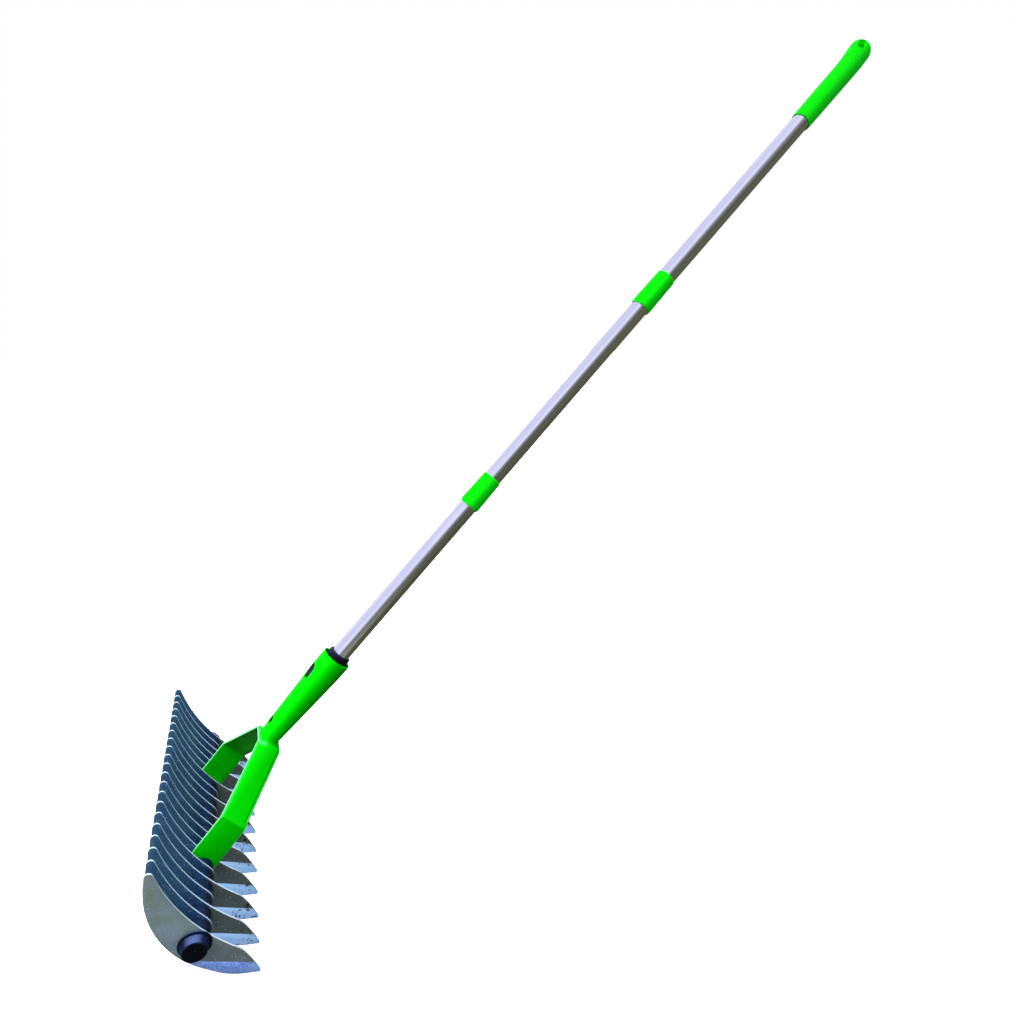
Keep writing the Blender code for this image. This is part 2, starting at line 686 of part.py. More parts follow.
def coupler_profile(length, tube_depth):
    foot = COUPLER_FOOT_DIAMETER / 2
    top = COUPLER_TOP_DIAMETER / 2
    web_low = tube_depth + SEAT_GAP
    web_high = web_low + COUPLER_WEB
    thread_bore = THREAD_DIAMETER / 2 + BORE_GAP
    profile = [(top - COUPLER_TOP_EDGE, length), (top, length - COUPLER_TOP_EDGE)]
    for n in range(5):
        turn = math.pi / 2 * n / 4
        narrower = COUPLER_FOOT_ROUND_WIDTH * (1 - math.cos(turn))
        profile.append((foot - narrower, COUPLER_FOOT_ROUND_LENGTH * (1 - math.sin(turn))))
    profile.append((TUBE_BORE_RADIUS, 0))
    profile.append((TUBE_BORE_RADIUS, web_low))
    profile.append((thread_bore, web_low))
    profile.append((thread_bore, web_high))
    profile.append((TUBE_BORE_RADIUS, web_high))
    profile.append((TUBE_BORE_RADIUS, length))
    return profile


def make_couplers():
    """Each coupler is fixed on the tube below it; the tube above carries the plug that screws into it."""
    crest = THREAD_DIAMETER / 2
    root = crest - THREAD_DEPTH
    shank = TUBE_INNER_RADIUS - BORE_GAP
    plug = [(0, PLUG_SHANK_LENGTH), (shank, PLUG_SHANK_LENGTH), (shank, 0), (root, 0)]
    for n in range(THREAD_TURNS):
        start = -n * THREAD_PITCH
        plug.append((crest, start - THREAD_PITCH * 0.35))
        plug.append((crest, start - THREAD_PITCH * 0.65))
        plug.append((root, start - THREAD_PITCH))
    plug.append((0, -THREAD_PITCH * THREAD_TURNS))
    for n, start in enumerate(COUPLER_STARTS):
        coupler = coupler_profile(COUPLER_LENGTHS[n], COUPLER_TUBE_DEPTHS[n])
        turned(f"coupler_{n + 1}", coupler, POLE_STEPS, pole, green_plastic, True, (0, 0, start))
        seat = (0, 0, TUBE_STARTS[n + 1])
        turned(f"threaded_plug_{n + 1}", plug, HOLE_STEPS, pole, plug_plastic, False, seat)


def grip_stations():
    """Height, sideways shift and radius along the grip, to a round head that leans square to its hang hole."""
    foot = GRIP_FOOT_DIAMETER / 2
    waist = GRIP_WAIST_DIAMETER / 2
    widest = GRIP_HEAD_DIAMETER / 2
    ball = GRIP_LENGTH - GRIP_END_ROUND
    stations = [(0, 0, foot - GRIP_EDGE), (GRIP_EDGE, 0, foot), (GRIP_LENGTH * 0.3, 0, waist)]
    stations.append((GRIP_BEND_START, 0, waist))
    for n in range(1, 6):
        share = n / 5
        height = GRIP_BEND_START + (ball - GRIP_BEND_START) * share
        ease = share * share * (3 - 2 * share)
        stations.append((height, GRIP_BEND_SHIFT * share * share, waist + (widest - waist) * ease))
    for n in range(1, 8):
        turn = math.radians(12 * n)
        height = ball + GRIP_END_ROUND * math.sin(turn)
        stations.append((height, GRIP_BEND_SHIFT, widest * math.cos(turn)))
    return stations


def make_grip():
    widest = GRIP_HEAD_DIAMETER / 2
    curve = bpy.data.curves.new("hand_grip_path", "CURVE")
    curve.dimensions = "3D"
    curve.bevel_depth = widest
    curve.bevel_resolution = 8
    curve.use_fill_caps = True
    spline = curve.splines.new("POLY")
    stations = grip_stations()
    spline.points.add(len(stations) - 1)
    for point, (height, shift, radius) in zip(spline.points, stations):
        point.co = (-shift, 0, height, 1)
        point.radius = radius / widest
    path = new_object("hand_grip_path", curve, guides)
    mesh = to_mesh(path)
    bpy.data.objects.remove(path)
    bpy.data.curves.remove(curve)
    mesh.name = "hand_grip"
    grip = new_object("hand_grip", mesh, rake, pole, (0, 0, GRIP_START), (0, 0, GRIP_TURN))
    mesh.materials.clear()
    mesh.materials.append(green_plastic)
    bore_length = GRIP_TUBE_DEPTH + SEAT_GAP
    bore = cylinder_mesh("grip_bore_cutter", TUBE_BORE_RADIUS, 2 * bore_length, POLE_STEPS)
    cut(grip, cutter_object("grip_bore_cutter", bore, grip))
    bottom = HANG_HOLE_DIAMETER / 2
    mouth = HANG_HOLE_MOUTH_DIAMETER / 2
    slope = (mouth - bottom) / HANG_HOLE_MOUTH_DEPTH
    past = 2 * HANG_HOLE_MOUTH_DEPTH
    waist = widest - HANG_HOLE_MOUTH_DEPTH
    hourglass = [
        (0, widest + past),
        (mouth + slope * past, widest + past),
        (bottom, waist),
        (bottom, -waist),
        (mouth + slope * past, -widest - past),
        (0, -widest - past),
    ]
    at = (-GRIP_BEND_SHIFT, 0, GRIP_LENGTH - HANG_HOLE_FROM_END)
    hole = cutter_object(
        "hang_hole_cutter", turned_mesh("hang_hole_cutter", hourglass, False), grip, at, (math.pi / 2, 0, 0)
    )
    add_screw(hole, HOLE_STEPS)
    cut(grip, hole)


def settle_meshes():
    """Each piece keeps its final shape as a plain mesh, smooth where it is round."""
    meshes = {}
    for made in rake.objects:
        if made.type != "MESH":
            continue
        if made.modifiers:
            meshes[made] = to_mesh(made)
    for made, mesh in meshes.items():
        made.modifiers.clear()
        made.data = mesh
        mesh.name = made.name
    for made in rake.objects:
        if made.type == "MESH":
            made.data.shade_smooth()
            made.data.set_sharp_from_angle(angle=SHARP_ANGLE)


for old in list(bpy.data.objects):
    bpy.data.objects.remove(old)

rake = new_collection("Thatch rake")
guides = new_collection("Cutters")

blade_steel = new_material("blade_steel", (0.42, 0.45, 0.46), 0.35, 1.0)
zinc_steel = new_material("zinc_steel", (0.62, 0.62, 0.60), 0.4, 1.0)
stainless = new_material("stainless", (0.66, 0.66, 0.72), 0.2, 1.0)
black_plastic = new_material("black_plastic", (0.012, 0.013, 0.02), 0.4, 0.0)
button_plastic = new_material("button_plastic", (0.02, 0.02, 0.028), 0.35, 0.0)
plug_plastic = new_material("plug_plastic", (0.03, 0.03, 0.035), 0.5, 0.0)
green_paint = new_material("green_paint", (0.0, 0.60, 0.005), 0.3, 0.0)
green_plastic = new_material("green_plastic", (0.0, 0.62, 0.005), 0.4, 0.0)

fork_way = Vector((0, math.cos(FORK_ANGLE), math.sin(FORK_ANGLE)))
fork_side = Vector((0, -math.sin(FORK_ANGLE), math.cos(FORK_ANGLE)))
pole_way = Vector((0, math.cos(POLE_ANGLE), math.sin(POLE_ANGLE)))
pole_foot = fork_way * FORK_REACH + fork_side * (STRAP_ABOVE_ROD + SOCKET_ABOVE_STRAP)

head = new_object("head_frame", None, rake, None, -pole_foot - pole_way * HAND_HOLD)
fork = new_object("fork_frame", None, rake, head, (0, 0, 0), (FORK_ANGLE, 0, 0))
pole = new_object("pole_frame", None, rake, head, pole_foot, (POLE_ANGLE - math.pi / 2, 0, 0))
latch = new_object("latch_frame", None, rake, pole, (0, 0, 0), (0, 0, LATCH_TURN))

make_blades()
make_spacers()
make_rod_and_ends()
make_yoke()
make_socket()
make_insert_and_button()
make_tubes()
make_couplers()
make_grip()
settle_meshes()
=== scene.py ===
"""Studio picture of the thatch rake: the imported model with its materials, lights, floor and camera.

Lengths are in metres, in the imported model's frame. Positions on the head are measured from the rod's middle.
"""

import math

import bpy
from mathutils import Matrix, Vector


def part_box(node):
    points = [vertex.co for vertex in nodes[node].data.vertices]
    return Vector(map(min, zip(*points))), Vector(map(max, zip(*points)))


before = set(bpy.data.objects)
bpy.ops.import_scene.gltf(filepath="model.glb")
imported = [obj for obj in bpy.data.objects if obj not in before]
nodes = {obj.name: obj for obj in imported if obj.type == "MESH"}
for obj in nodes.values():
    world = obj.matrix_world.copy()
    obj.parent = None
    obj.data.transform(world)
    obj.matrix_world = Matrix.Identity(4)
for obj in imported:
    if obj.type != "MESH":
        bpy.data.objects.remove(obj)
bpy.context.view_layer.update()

# Where a mix node has its two colours and their result
MIX_FIRST = 6
MIX_SECOND = 7
MIX_RESULT = 2

# The rod's middle, from which the head is measured
rod_low, rod_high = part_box("tie_rod")
HEAD = (rod_low + rod_high) / 2

# Camera
LENS = 23.094
SENSOR_WIDTH = 36
NEAR_CLIP = 0.01
FAR_CLIP = 100
CAMERA_PLACE = Vector((0.81094, 0.10811, 0.63233))
CAMERA_RIGHT = Vector((0.3702956, 0.9289140, 0.0))
CAMERA_UP = Vector((-0.2508251, 0.0999871, 0.9628548))

# Key light
SUN_SIDE = Vector((0, -0.25, 0.97))
SUN_STRENGTH = 5.2
SUN_WIDTH = math.radians(30)

# The light from each height, from straight below to straight above
SOFT_LIGHT = [
    (-1.0, (0.08, 0.22, 0.08)),
    (-0.2, (0.28, 0.43, 0.39)),
    (0.2, (0.65, 0.74, 1.02)),
    (1.0, (0.82, 0.93, 1.15)),
]

# What the steel mirrors: from the dark side to the softbox, by the way's share towards the softbox
SOFTBOX_SIDE = (-0.423, -0.648, 0.634)
MIRRORED = [
    (-1.0, (0.083, 0.085, 0.050)),
    (-0.8, (0.115, 0.12, 0.076)),
    (-0.6, (0.085, 0.085, 0.062)),
    (-0.4, (0.15, 0.155, 0.155)),
    (-0.15, (0.235, 0.24, 0.27)),
    (-0.02, (0.36, 0.37, 0.43)),
    (0.12, (0.62, 0.64, 0.78)),
    (0.28, (0.84, 0.86, 1.0)),
    (0.5, (0.74, 0.76, 1.0)),
    (1.0, (0.70, 0.72, 1.0)),
]

# Two pale screens below the blades, which their sheet and their bevels mirror
DARK = (0, 0, 0)
GREY_SCREEN = [(-1.0, DARK), (0.80, DARK), (0.97, (0.27, 0.30, 0.26)), (1.0, (0.28, 0.31, 0.27))]
BLUE_SCREEN = [(-1.0, DARK), (0.90, DARK), (0.97, (0.18, 0.30, 0.80)), (1.0, (0.18, 0.30, 0.80))]
MIRRORED_SCREENS = [
    ((0.70, -0.30, -0.65), GREY_SCREEN),
    ((0.57, -0.12, -0.81), BLUE_SCREEN),
]

# Floor
FLOOR_DROP = 0.0664
FLOOR_SIZE = 30
FLOOR_PALE = ((0.93, 0.93, 0.93), (0.96, 0.96, 0.96))
FLOOR_BOUNCE = (0.03, 0.035, 0.025)
FLOOR_GLOW = 0.5

# Mesh finish
WELD_DISTANCE = 0.00001
BLADE_EDGE_ROUND = 0.0002
ROUNDED_EDGE_ANGLE = math.radians(35)
SHARP_EDGE_ANGLE = math.radians(30)

# Pole
POLE_ANGLE = math.radians(45.5)
DRAWN_LINES = (1, 1, 0.01)
STEEL = ((0.80, 0.80, 0.85), (0.99, 0.99, 1.0))
ZINC = ((0.55, 0.55, 0.52), (0.75, 0.74, 0.70))

# The lower edge of each blade is ground from a line on its face towards +X
GRIND_START = Vector((0.0, 0.0298, -0.0380))
GRIND_LINE_ANGLE = math.radians(-25)
GRIND_BLEND = 0.0006
OUTER_FACE = 0.186
OUTER_FACE_BAND = (OUTER_FACE - 0.0006, OUTER_FACE - 0.0002)
LAST_BLADE_BAND = (OUTER_FACE - 0.004, OUTER_FACE - 0.003)

# How far down the chisel each look starts and is complete
CHISEL_WAY = Vector((0.0, 0.68, -0.733))
OLIVE_REACH = (-0.004, 0.012)
OUTER_OLIVE_REACH = (0.0, 0.025)
DULL_FRONT_REACH = (0.046, 0.052)
DIRT_REACH = (0.050, 0.064)
SCRATCH_REACH = (0.082, 0.066)

# How far from the rod's axis the painted navy sky reflection is plain and where it is bluest
ROD_BLUE_REACH = (0.045, 0.017)

# Sheet colours, each pair from one shade to another. The navy and olive ones are painted reflections, of sky
# with shade between the blades and of the lawn at the chisels; the outer face's colour is steel with a painted
# lawn reflection, and the rod blue deepens the painted navy near the rod
NAVY_PAINTED_REFLECTION = ((0.038, 0.11, 0.19), (0.098, 0.235, 0.365))
OLIVE_PAINTED_REFLECTION = ((0.10, 0.12, 0.095), (0.175, 0.195, 0.16))
OUTER_STEEL_AND_PAINTED_REFLECTION = ((0.24, 0.31, 0.25), (0.39, 0.45, 0.44))
# Ground bevels: bare steel with a painted pale-blue sky reflection
BEVEL = ((0.64, 0.93, 1.0), (0.80, 1.0, 1.0))
OUTER_STAIN = (0.25, 0.30, 0.17)
ROD_BLUE = (0.018, 0.065, 0.20)
PALE_SPECK = (0.85, 0.92, 1.0)
BLUE_DUST = (0.5, 0.7, 0.85)
LAST_BEVEL_TINT = (0.35, 0.42, 0.85)
LAST_BEVEL_SCRATCH = (0.13, 0.18, 0.60)
WHITE_CHIP = (0.95, 1.0, 1.0)
DIRT = (0.025, 0.02, 0.015)
# Painted pale sky reflection on the bare cut edges
CUT_EDGE_PAINTED_REFLECTION = (0.46, 0.58, 0.66)
DULL_FRONT = (0.14, 0.14, 0.10)
SHEET_ROUGHNESS = 0.36
CUT_ROUGHNESS = 0.3
SHEET_METAL = (0.25, 0.25, 0.25)
BEVEL_METAL = (0.85, 0.85, 0.85)
EDGE_METAL = (0.0, 0.0, 0.0)

# The yoke's strap: how far along a leg and how far to the side of its middle each painted highlight and
# painted shade lies
FORK_ANGLE = math.radians(48)
FORK_WAY = Vector((0.0, math.cos(FORK_ANGLE), math.sin(FORK_ANGLE)))
FORK_SIDE = Vector((0.0, -math.sin(FORK_ANGLE), math.cos(FORK_ANGLE)))
STRAP_ABOVE_ROD = 0.0023
PLATE_TOP = 0.1411
SLOPE_END = 0.0658
STRAP_REACH = (PLATE_TOP + 0.001, PLATE_TOP)
PLATE_REACH = (PLATE_TOP - 0.004, PLATE_TOP - 0.001)
SLOPE_REACH = (SLOPE_END, SLOPE_END + 0.006)
UPPER_HIGHLIGHT_REACH = (0.0140, 0.0178)
PLATE_HIGHLIGHT_REACH = (0.002, 0.010)
RIM_HIGHLIGHT_REACH = (0.0170, 0.0177)
CREASE_SIDE = -0.0137
# How far either side of the fold the painted shade reaches
CREASE_SHADE_REACH = (0.0013, 0.0005)
ROLLED_STRIP = (CREASE_SIDE - 0.0008, CREASE_SIDE - 0.0014)

# Greens
COAT = ((0.0, 0.66, 0.0), (0.001, 0.76, 0.001))
# Painted highlight along the strap's upper long edge and on the plate
COAT_PAINTED_HIGHLIGHT = (0.20, 0.97, 0.50)
# Painted light on the rolled edge
COAT_STRIP_PAINTED_LIGHT = (0.08, 0.98, 0.10)
# Painted shade along the fold
COAT_CREASE_SHADE = (0.0, 0.20, 0.0)
# Painted shade where the coat looks down
COAT_UNDERSIDE_SHADE = (0.02, 0.20, 0.002)
# Painted highlight along both long edges of the strap
COAT_RIM_HIGHLIGHT = (0.45, 0.95, 0.55)
COAT_SCUFF = (0.45, 0.85, 0.5)
GRIP_GREEN = ((0.0, 0.46, 0.0), (0.001, 0.54, 0.001))
COUPLER_GREEN = ((0.0, 0.78, 0.0), (0.001, 0.87, 0.001))
# Painted light, brighter where the plastic looks down
GREEN_PAINTED_LIGHT_BELOW = (0.01, 0.98, 0.01)

# Blacks: their blue tint is a painted sky reflection, the colours for what looks up are painted top light, and
# the cap's end colour is painted shade
SLEEVE_BLACK = (0.002, 0.005, 0.014)
SLEEVE_PAINTED_TOP_LIGHT = (0.006, 0.017, 0.042)
CAP_BLACK = (0.005, 0.008, 0.024)
CAP_PAINTED_TOP_LIGHT = (0.062, 0.09, 0.21)
CAP_PAINTED_END_SHADE = (0.0005, 0.0007, 0.001)
INSERT_BLACK = (0.004, 0.004, 0.010)
INSERT_PAINTED_TOP_LIGHT = (0.02, 0.022, 0.048)
BUTTON_BLACK = (0.004, 0.005, 0.012)
BLACK_DUST = (0.5, 0.55, 0.65)
CLOUD_PALER = 1.8


class Tree:
    """Short names for building the nodes of a material or of the world."""

    def __init__(self, owner):
        owner.use_nodes = True
        self.tree = owner.node_tree

    def node(self, kind, **values):
        made = self.tree.nodes.new(kind)
        for key, value in values.items():
            setattr(made, key, value)
        return made

    def put(self, socket, value):
        """Links another node's output to the socket, or sets the socket to a plain value."""
        if isinstance(value, bpy.types.NodeSocket):
            self.tree.links.new(value, socket)
        else:
            socket.default_value = value

    def put_colour(self, socket, colour):
        self.put(socket, (*colour, 1) if isinstance(colour, tuple) else colour)

    def mix(self, share, first, second, blend="MIX"):
        made = self.node("ShaderNodeMix", data_type="RGBA", blend_type=blend)
        self.put(made.inputs["Factor"], share)
        self.put_colour(made.inputs[MIX_FIRST], first)
        self.put_colour(made.inputs[MIX_SECOND], second)
        return made.outputs[MIX_RESULT]


class Graph(Tree):
    """Short names for building a material's nodes."""

    def __init__(self, name, roughness=0.5, metallic=0.0, specular=0.5):
        self.material = bpy.data.materials.new(name)
        super().__init__(self.material)
        self.shader = self.tree.nodes["Principled BSDF"]
        self.surface("Roughness", roughness)
        self.surface("Metallic", metallic)
        self.surface("Specular IOR Level", specular)
        coordinates = self.node("ShaderNodeTexCoord")
        self.place = coordinates.outputs["Object"]
        self.normal = coordinates.outputs["Normal"]

    def surface(self, name, value):
        self.put(self.shader.inputs[name], value)

    def math(self, operation, *values):
        made = self.node("ShaderNodeMath", operation=operation)
        for socket, value in zip(made.inputs, values):
            self.put(socket, value)
        return made.outputs[0]

    def times(self, first, second):
        return self.math("MULTIPLY", first, second)

    def vector_math(self, operation, first, second):
        made = self.node("ShaderNodeVectorMath", operation=operation)
        self.put(made.inputs[0], first)
        self.put(made.inputs[1], second)
        return made.outputs

    def dot(self, direction, start):
        """How far a place lies from start along a direction, in metres."""
        moved = self.vector_math("SUBTRACT", self.place, start)["Vector"]
        return self.vector_math("DOT_PRODUCT", moved, direction)["Value"]

    def from_rod(self):
        """How far a place lies from the rod's axis, in metres."""
        moved = self.vector_math("SUBTRACT", self.place, HEAD)["Vector"]
        across = self.vector_math("MULTIPLY", moved, (0, 1, 1))["Vector"]
        made = self.node("ShaderNodeVectorMath", operation="LENGTH")
        self.put(made.inputs[0], across)
        return made.outputs["Value"]

    def facing(self, axis):
        """How far the surface looks along an axis, from -1 to 1."""
        made = self.node("ShaderNodeSeparateXYZ")
        self.put(made.inputs[0], self.normal)
        return made.outputs[axis]

    def ramp(self, value, low, high, first=0.0, last=1.0):
        """A smooth step from first at low to last at high."""
        made = self.node("ShaderNodeMapRange", interpolation_type="SMOOTHSTEP")
        self.put(made.inputs["Value"], value)
        self.put(made.inputs["From Min"], low)
        self.put(made.inputs["From Max"], high)
        self.put(made.inputs["To Min"], first)
        self.put(made.inputs["To Max"], last)
        return made.outputs["Result"]

    def turned(self, angle, stretch):
        """Object places turned about X, then scaled."""
        made = self.node("ShaderNodeMapping", vector_type="TEXTURE")
        self.put(made.inputs["Vector"], self.place)
        made.inputs["Rotation"].default_value = (angle, 0, 0)
        return self.vector_math("MULTIPLY", made.outputs["Vector"], stretch)["Vector"]

    def noise(self, scale, detail, roughness=0.5, place=None):
        made = self.node("ShaderNodeTexNoise")
        self.put(made.inputs["Vector"], place or self.place)
        self.put(made.inputs["Scale"], scale)
        self.put(made.inputs["Detail"], detail)
        self.put(made.inputs["Roughness"], roughness)
        return made.outputs["Fac"]

    def spots(self, scale, size):
        """1 inside small round spots and 0 between them."""
        made = self.node("ShaderNodeTexVoronoi")
        self.put(made.inputs["Vector"], self.place)
        self.put(made.inputs["Scale"], scale)
        return self.ramp(made.outputs["Distance"], size, size * 0.6)

    def stain(self, base, mask, strength, colour):
        """The base colour with another one over it, as strong as strength where the mask is 1."""
        return self.mix(self.times(mask, strength), base, colour)

    def bump(self, height, strength, distance):
        made = self.node("ShaderNodeBump")
        made.inputs["Strength"].default_value = strength
        made.inputs["Distance"].default_value = distance
        self.put(made.inputs["Height"], height)
        self.surface("Normal", made.outputs["Normal"])


def stainless_steel():
    """Polished tube with fine drawing lines along its length."""
    graph = Graph("stainless_tube", metallic=1.0)
    drawn = graph.turned(POLE_ANGLE - math.pi / 2, DRAWN_LINES)
    lines = graph.noise(scale=700, detail=2, place=drawn)
    broad = graph.noise(scale=160, detail=2, place=drawn)
    shade = graph.math("MULTIPLY_ADD", lines, 0.4, graph.times(broad, 0.6))
    cloud = graph.noise(scale=30, detail=3)
    graph.surface("Base Color", graph.mix(graph.ramp(shade, 0.35, 0.65), *STEEL))
    graph.surface("Roughness", graph.ramp(cloud, 0.3, 0.7, 0.07, 0.14))
    graph.bump(shade, strength=0.06, distance=0.0002)
    return graph.material


def blade_steel():
    """Dull rolled sheet with specks and dust, its colour holding painted reflections: navy sky with shade
    between the blades, olive lawn at the chisels and on the outer face, and pale sky on the ground bevels and
    cut edges.
    """
    graph = Graph("blade_sheet", specular=0.25)
    along_rod = graph.dot((1, 0, 0), HEAD)
    down_chisel = graph.dot(CHISEL_WAY, HEAD)
    below_line = Vector((0, math.sin(GRIND_LINE_ANGLE), -math.cos(GRIND_LINE_ANGLE)))
    depth = graph.dot(below_line, HEAD + GRIND_START)
    edge = graph.ramp(graph.math("ABSOLUTE", graph.facing("X")), 0.9, 0.5)
    ground = graph.times(graph.ramp(depth, 0.0, GRIND_BLEND), graph.ramp(graph.facing("X"), 0.3, 0.6))
    outermost = graph.ramp(along_rod, *OUTER_FACE_BAND)
    last_blade = graph.ramp(along_rod, *LAST_BLADE_BAND)
    cloud = graph.noise(scale=45, detail=4)

    # Rolled faces, painted with reflections: navy sky and shade between the blades, bluest near the rod, and
    # olive lawn down the chisels and on the outer face
    painted_sky_reflection = graph.mix(cloud, *NAVY_PAINTED_REFLECTION)
    painted_sky_reflection = graph.stain(painted_sky_reflection, graph.ramp(graph.from_rod(), *ROD_BLUE_REACH), 0.65, ROD_BLUE)
    lower = graph.mix(cloud, *OLIVE_PAINTED_REFLECTION)
    outer = graph.mix(graph.noise(scale=22, detail=2), *OUTER_STEEL_AND_PAINTED_REFLECTION)
    outer = graph.stain(outer, graph.ramp(graph.noise(scale=70, detail=4), 0.42, 0.68), 0.6, OUTER_STAIN)
    outer = graph.stain(outer, graph.ramp(down_chisel, *OUTER_OLIVE_REACH), 0.7, lower)
    sheet = graph.mix(graph.ramp(down_chisel, *OLIVE_REACH), painted_sky_reflection, lower)
    sheet = graph.mix(outermost, sheet, outer)
    specks = graph.times(graph.spots(280, 0.18), graph.ramp(graph.noise(scale=110, detail=3), 0.42, 0.55))
    dust = graph.times(graph.spots(620, 0.24), graph.ramp(graph.noise(scale=170, detail=3), 0.46, 0.56))
    sheet = graph.stain(sheet, specks, 0.8, PALE_SPECK)
    sheet = graph.stain(sheet, dust, 0.4, BLUE_DUST)

    # Ground bevels, bare steel painted pale blue as a sky reflection, with scratches and chips on the last
    # blade
    scratched = graph.ramp(graph.noise(scale=520, detail=4, roughness=0.8), 0.42, 0.6)
    scratched = graph.times(graph.times(last_blade, scratched), graph.ramp(down_chisel, *SCRATCH_REACH))
    bright = graph.mix(cloud, *BEVEL)
    bright = graph.stain(bright, last_blade, 0.45, LAST_BEVEL_TINT)
    bright = graph.stain(bright, scratched, 0.75, LAST_BEVEL_SCRATCH)
    bright = graph.stain(bright, graph.times(last_blade, graph.spots(520, 0.2)), 0.6, WHITE_CHIP)
    colour = graph.mix(ground, sheet, bright)
    streaks = graph.ramp(graph.noise(scale=150, detail=4, roughness=0.65), 0.575, 0.6)
    dirt = graph.times(streaks, graph.ramp(down_chisel, *DIRT_REACH))
    dirt = graph.times(dirt, graph.ramp(last_blade, 1, 0))
    colour = graph.stain(colour, dirt, 0.9, DIRT)

    # Cut edges, painted pale as a sky reflection, and dull far down the chisel where they look up
    front = graph.times(graph.ramp(down_chisel, *DULL_FRONT_REACH), graph.ramp(graph.facing("Z"), 0.0, 0.15))
    colour = graph.mix(edge, colour, graph.stain(CUT_EDGE_PAINTED_REFLECTION, front, 0.85, DULL_FRONT))

    graph.surface("Base Color", colour)
    graph.surface("Metallic", graph.mix(edge, graph.mix(ground, SHEET_METAL, BEVEL_METAL), EDGE_METAL))
    cut = graph.math("MAXIMUM", edge, ground)
    graph.surface("Roughness", graph.ramp(cut, 0.0, 1.0, SHEET_ROUGHNESS, CUT_ROUGHNESS))
    graph.bump(graph.noise(scale=300, detail=3), strength=0.05, distance=0.0003)
    return graph.material


def black_plastic(name, colour, roughness, specular=0.12, painted_top_light=None, top_from=0.55, painted_end_shade=None):
    """Moulded black plastic with faint scuffs and dust.

    The top colour is a painted top light, for what looks up by more than top_from, and the face colour a
    painted shade on the flat ends.
    """
    graph = Graph(name, specular=specular)
    cloud = graph.noise(scale=60, detail=4)
    tone = graph.mix(cloud, colour, tuple(c * CLOUD_PALER for c in colour))
    # Painted top light where the surface looks up
    if painted_top_light:
        tone = graph.mix(graph.ramp(graph.facing("Z"), top_from, 1.0), tone, painted_top_light)
    # Painted shade on the flat ends
    if painted_end_shade:
        flat = graph.ramp(graph.math("ABSOLUTE", graph.facing("X")), 0.8, 0.95)
        tone = graph.mix(flat, tone, painted_end_shade)
    dust = graph.times(graph.spots(300, 0.14), graph.ramp(graph.noise(scale=90, detail=3), 0.5, 0.6))
    graph.surface("Base Color", graph.stain(tone, dust, 0.3, BLACK_DUST))
    graph.surface("Roughness", graph.ramp(cloud, 0.3, 0.7, roughness - 0.06, roughness + 0.08))
    graph.bump(graph.noise(scale=700, detail=2), strength=0.06, distance=0.0002)
    return graph.material


def green_paint():
    """Powder coat with a light orange peel and scuffs, with painted highlights along the strap's long edges
    and on the plate, painted light on the rolled edge, painted shade along its fold and painted shade where it
    looks down.
    """
    graph = Graph("green_coat", 0.35, specular=0.04)
    side = graph.dot(FORK_SIDE, HEAD + FORK_SIDE * STRAP_ABOVE_ROD)
    along = graph.dot(FORK_WAY, HEAD)
    on_strap = graph.ramp(along, *STRAP_REACH)
    above_leg = graph.ramp(along, *SLOPE_REACH)
    # Painted highlights along the strap's upper long edge and on the plate
    highlight_band = graph.times(graph.ramp(side, *UPPER_HIGHLIGHT_REACH, last=0.15), above_leg)
    highlight_patch = graph.times(graph.ramp(side, *PLATE_HIGHLIGHT_REACH, last=0.3), graph.ramp(along, *PLATE_REACH))
    pale = graph.times(graph.math("MAXIMUM", highlight_band, highlight_patch), on_strap)
    # Painted light on the rolled edge, and painted shade along its fold
    strip_light = graph.times(graph.times(graph.ramp(side, *ROLLED_STRIP), above_leg), on_strap)
    from_crease = graph.math("ABSOLUTE", graph.math("SUBTRACT", side, CREASE_SIDE))
    crease_shade = graph.times(graph.times(graph.ramp(from_crease, *CREASE_SHADE_REACH), above_leg), on_strap)
    # Painted highlight along both long edges of the strap
    rim_highlight = graph.times(graph.ramp(graph.math("ABSOLUTE", side), *RIM_HIGHLIGHT_REACH), on_strap)
    # Painted shade where the coat looks down
    underside_shade = graph.ramp(graph.facing("Z"), -0.1, -0.65)
    scuff = graph.ramp(graph.noise(scale=90, detail=5, roughness=0.75), 0.66, 0.70)

    tone = graph.mix(graph.noise(scale=25, detail=3), *COAT)
    tone = graph.mix(pale, tone, COAT_PAINTED_HIGHLIGHT)
    tone = graph.stain(tone, strip_light, 0.8, COAT_STRIP_PAINTED_LIGHT)
    tone = graph.stain(tone, crease_shade, 0.75, COAT_CREASE_SHADE)
    tone = graph.stain(tone, underside_shade, 0.8, COAT_UNDERSIDE_SHADE)
    tone = graph.stain(tone, rim_highlight, 0.35, COAT_RIM_HIGHLIGHT)
    graph.surface("Base Color", graph.stain(tone, scuff, 0.25, COAT_SCUFF))
    graph.bump(graph.noise(scale=420, detail=2), strength=0.05, distance=0.0003)
    return graph.material


def green_plastic(name, shades):
    """Satin moulded plastic with a fine grain, in its two shades where it looks up, and painted light making
    it brighter where it looks down.
    """
    graph = Graph(name, 0.45, specular=0.03)
    dull = graph.mix(graph.noise(scale=40, detail=3), *shades)
    # Painted light: brighter where the plastic looks down
    graph.surface("Base Color", graph.mix(graph.ramp(graph.facing("Z"), -0.3, 0.8), GREEN_PAINTED_LIGHT_BELOW, dull))
    graph.bump(graph.noise(scale=900, detail=3), strength=0.08, distance=0.0002)
    return graph.material


def zinc_plate():
    """Dull plating of the rod and its nuts."""
    graph = Graph("zinc_plate", 0.38, metallic=1.0)
    graph.surface("Base Color", graph.mix(graph.noise(scale=80, detail=4), *ZINC))
    graph.bump(graph.noise(scale=500, detail=3), strength=0.08, distance=0.0002)
    return graph.material


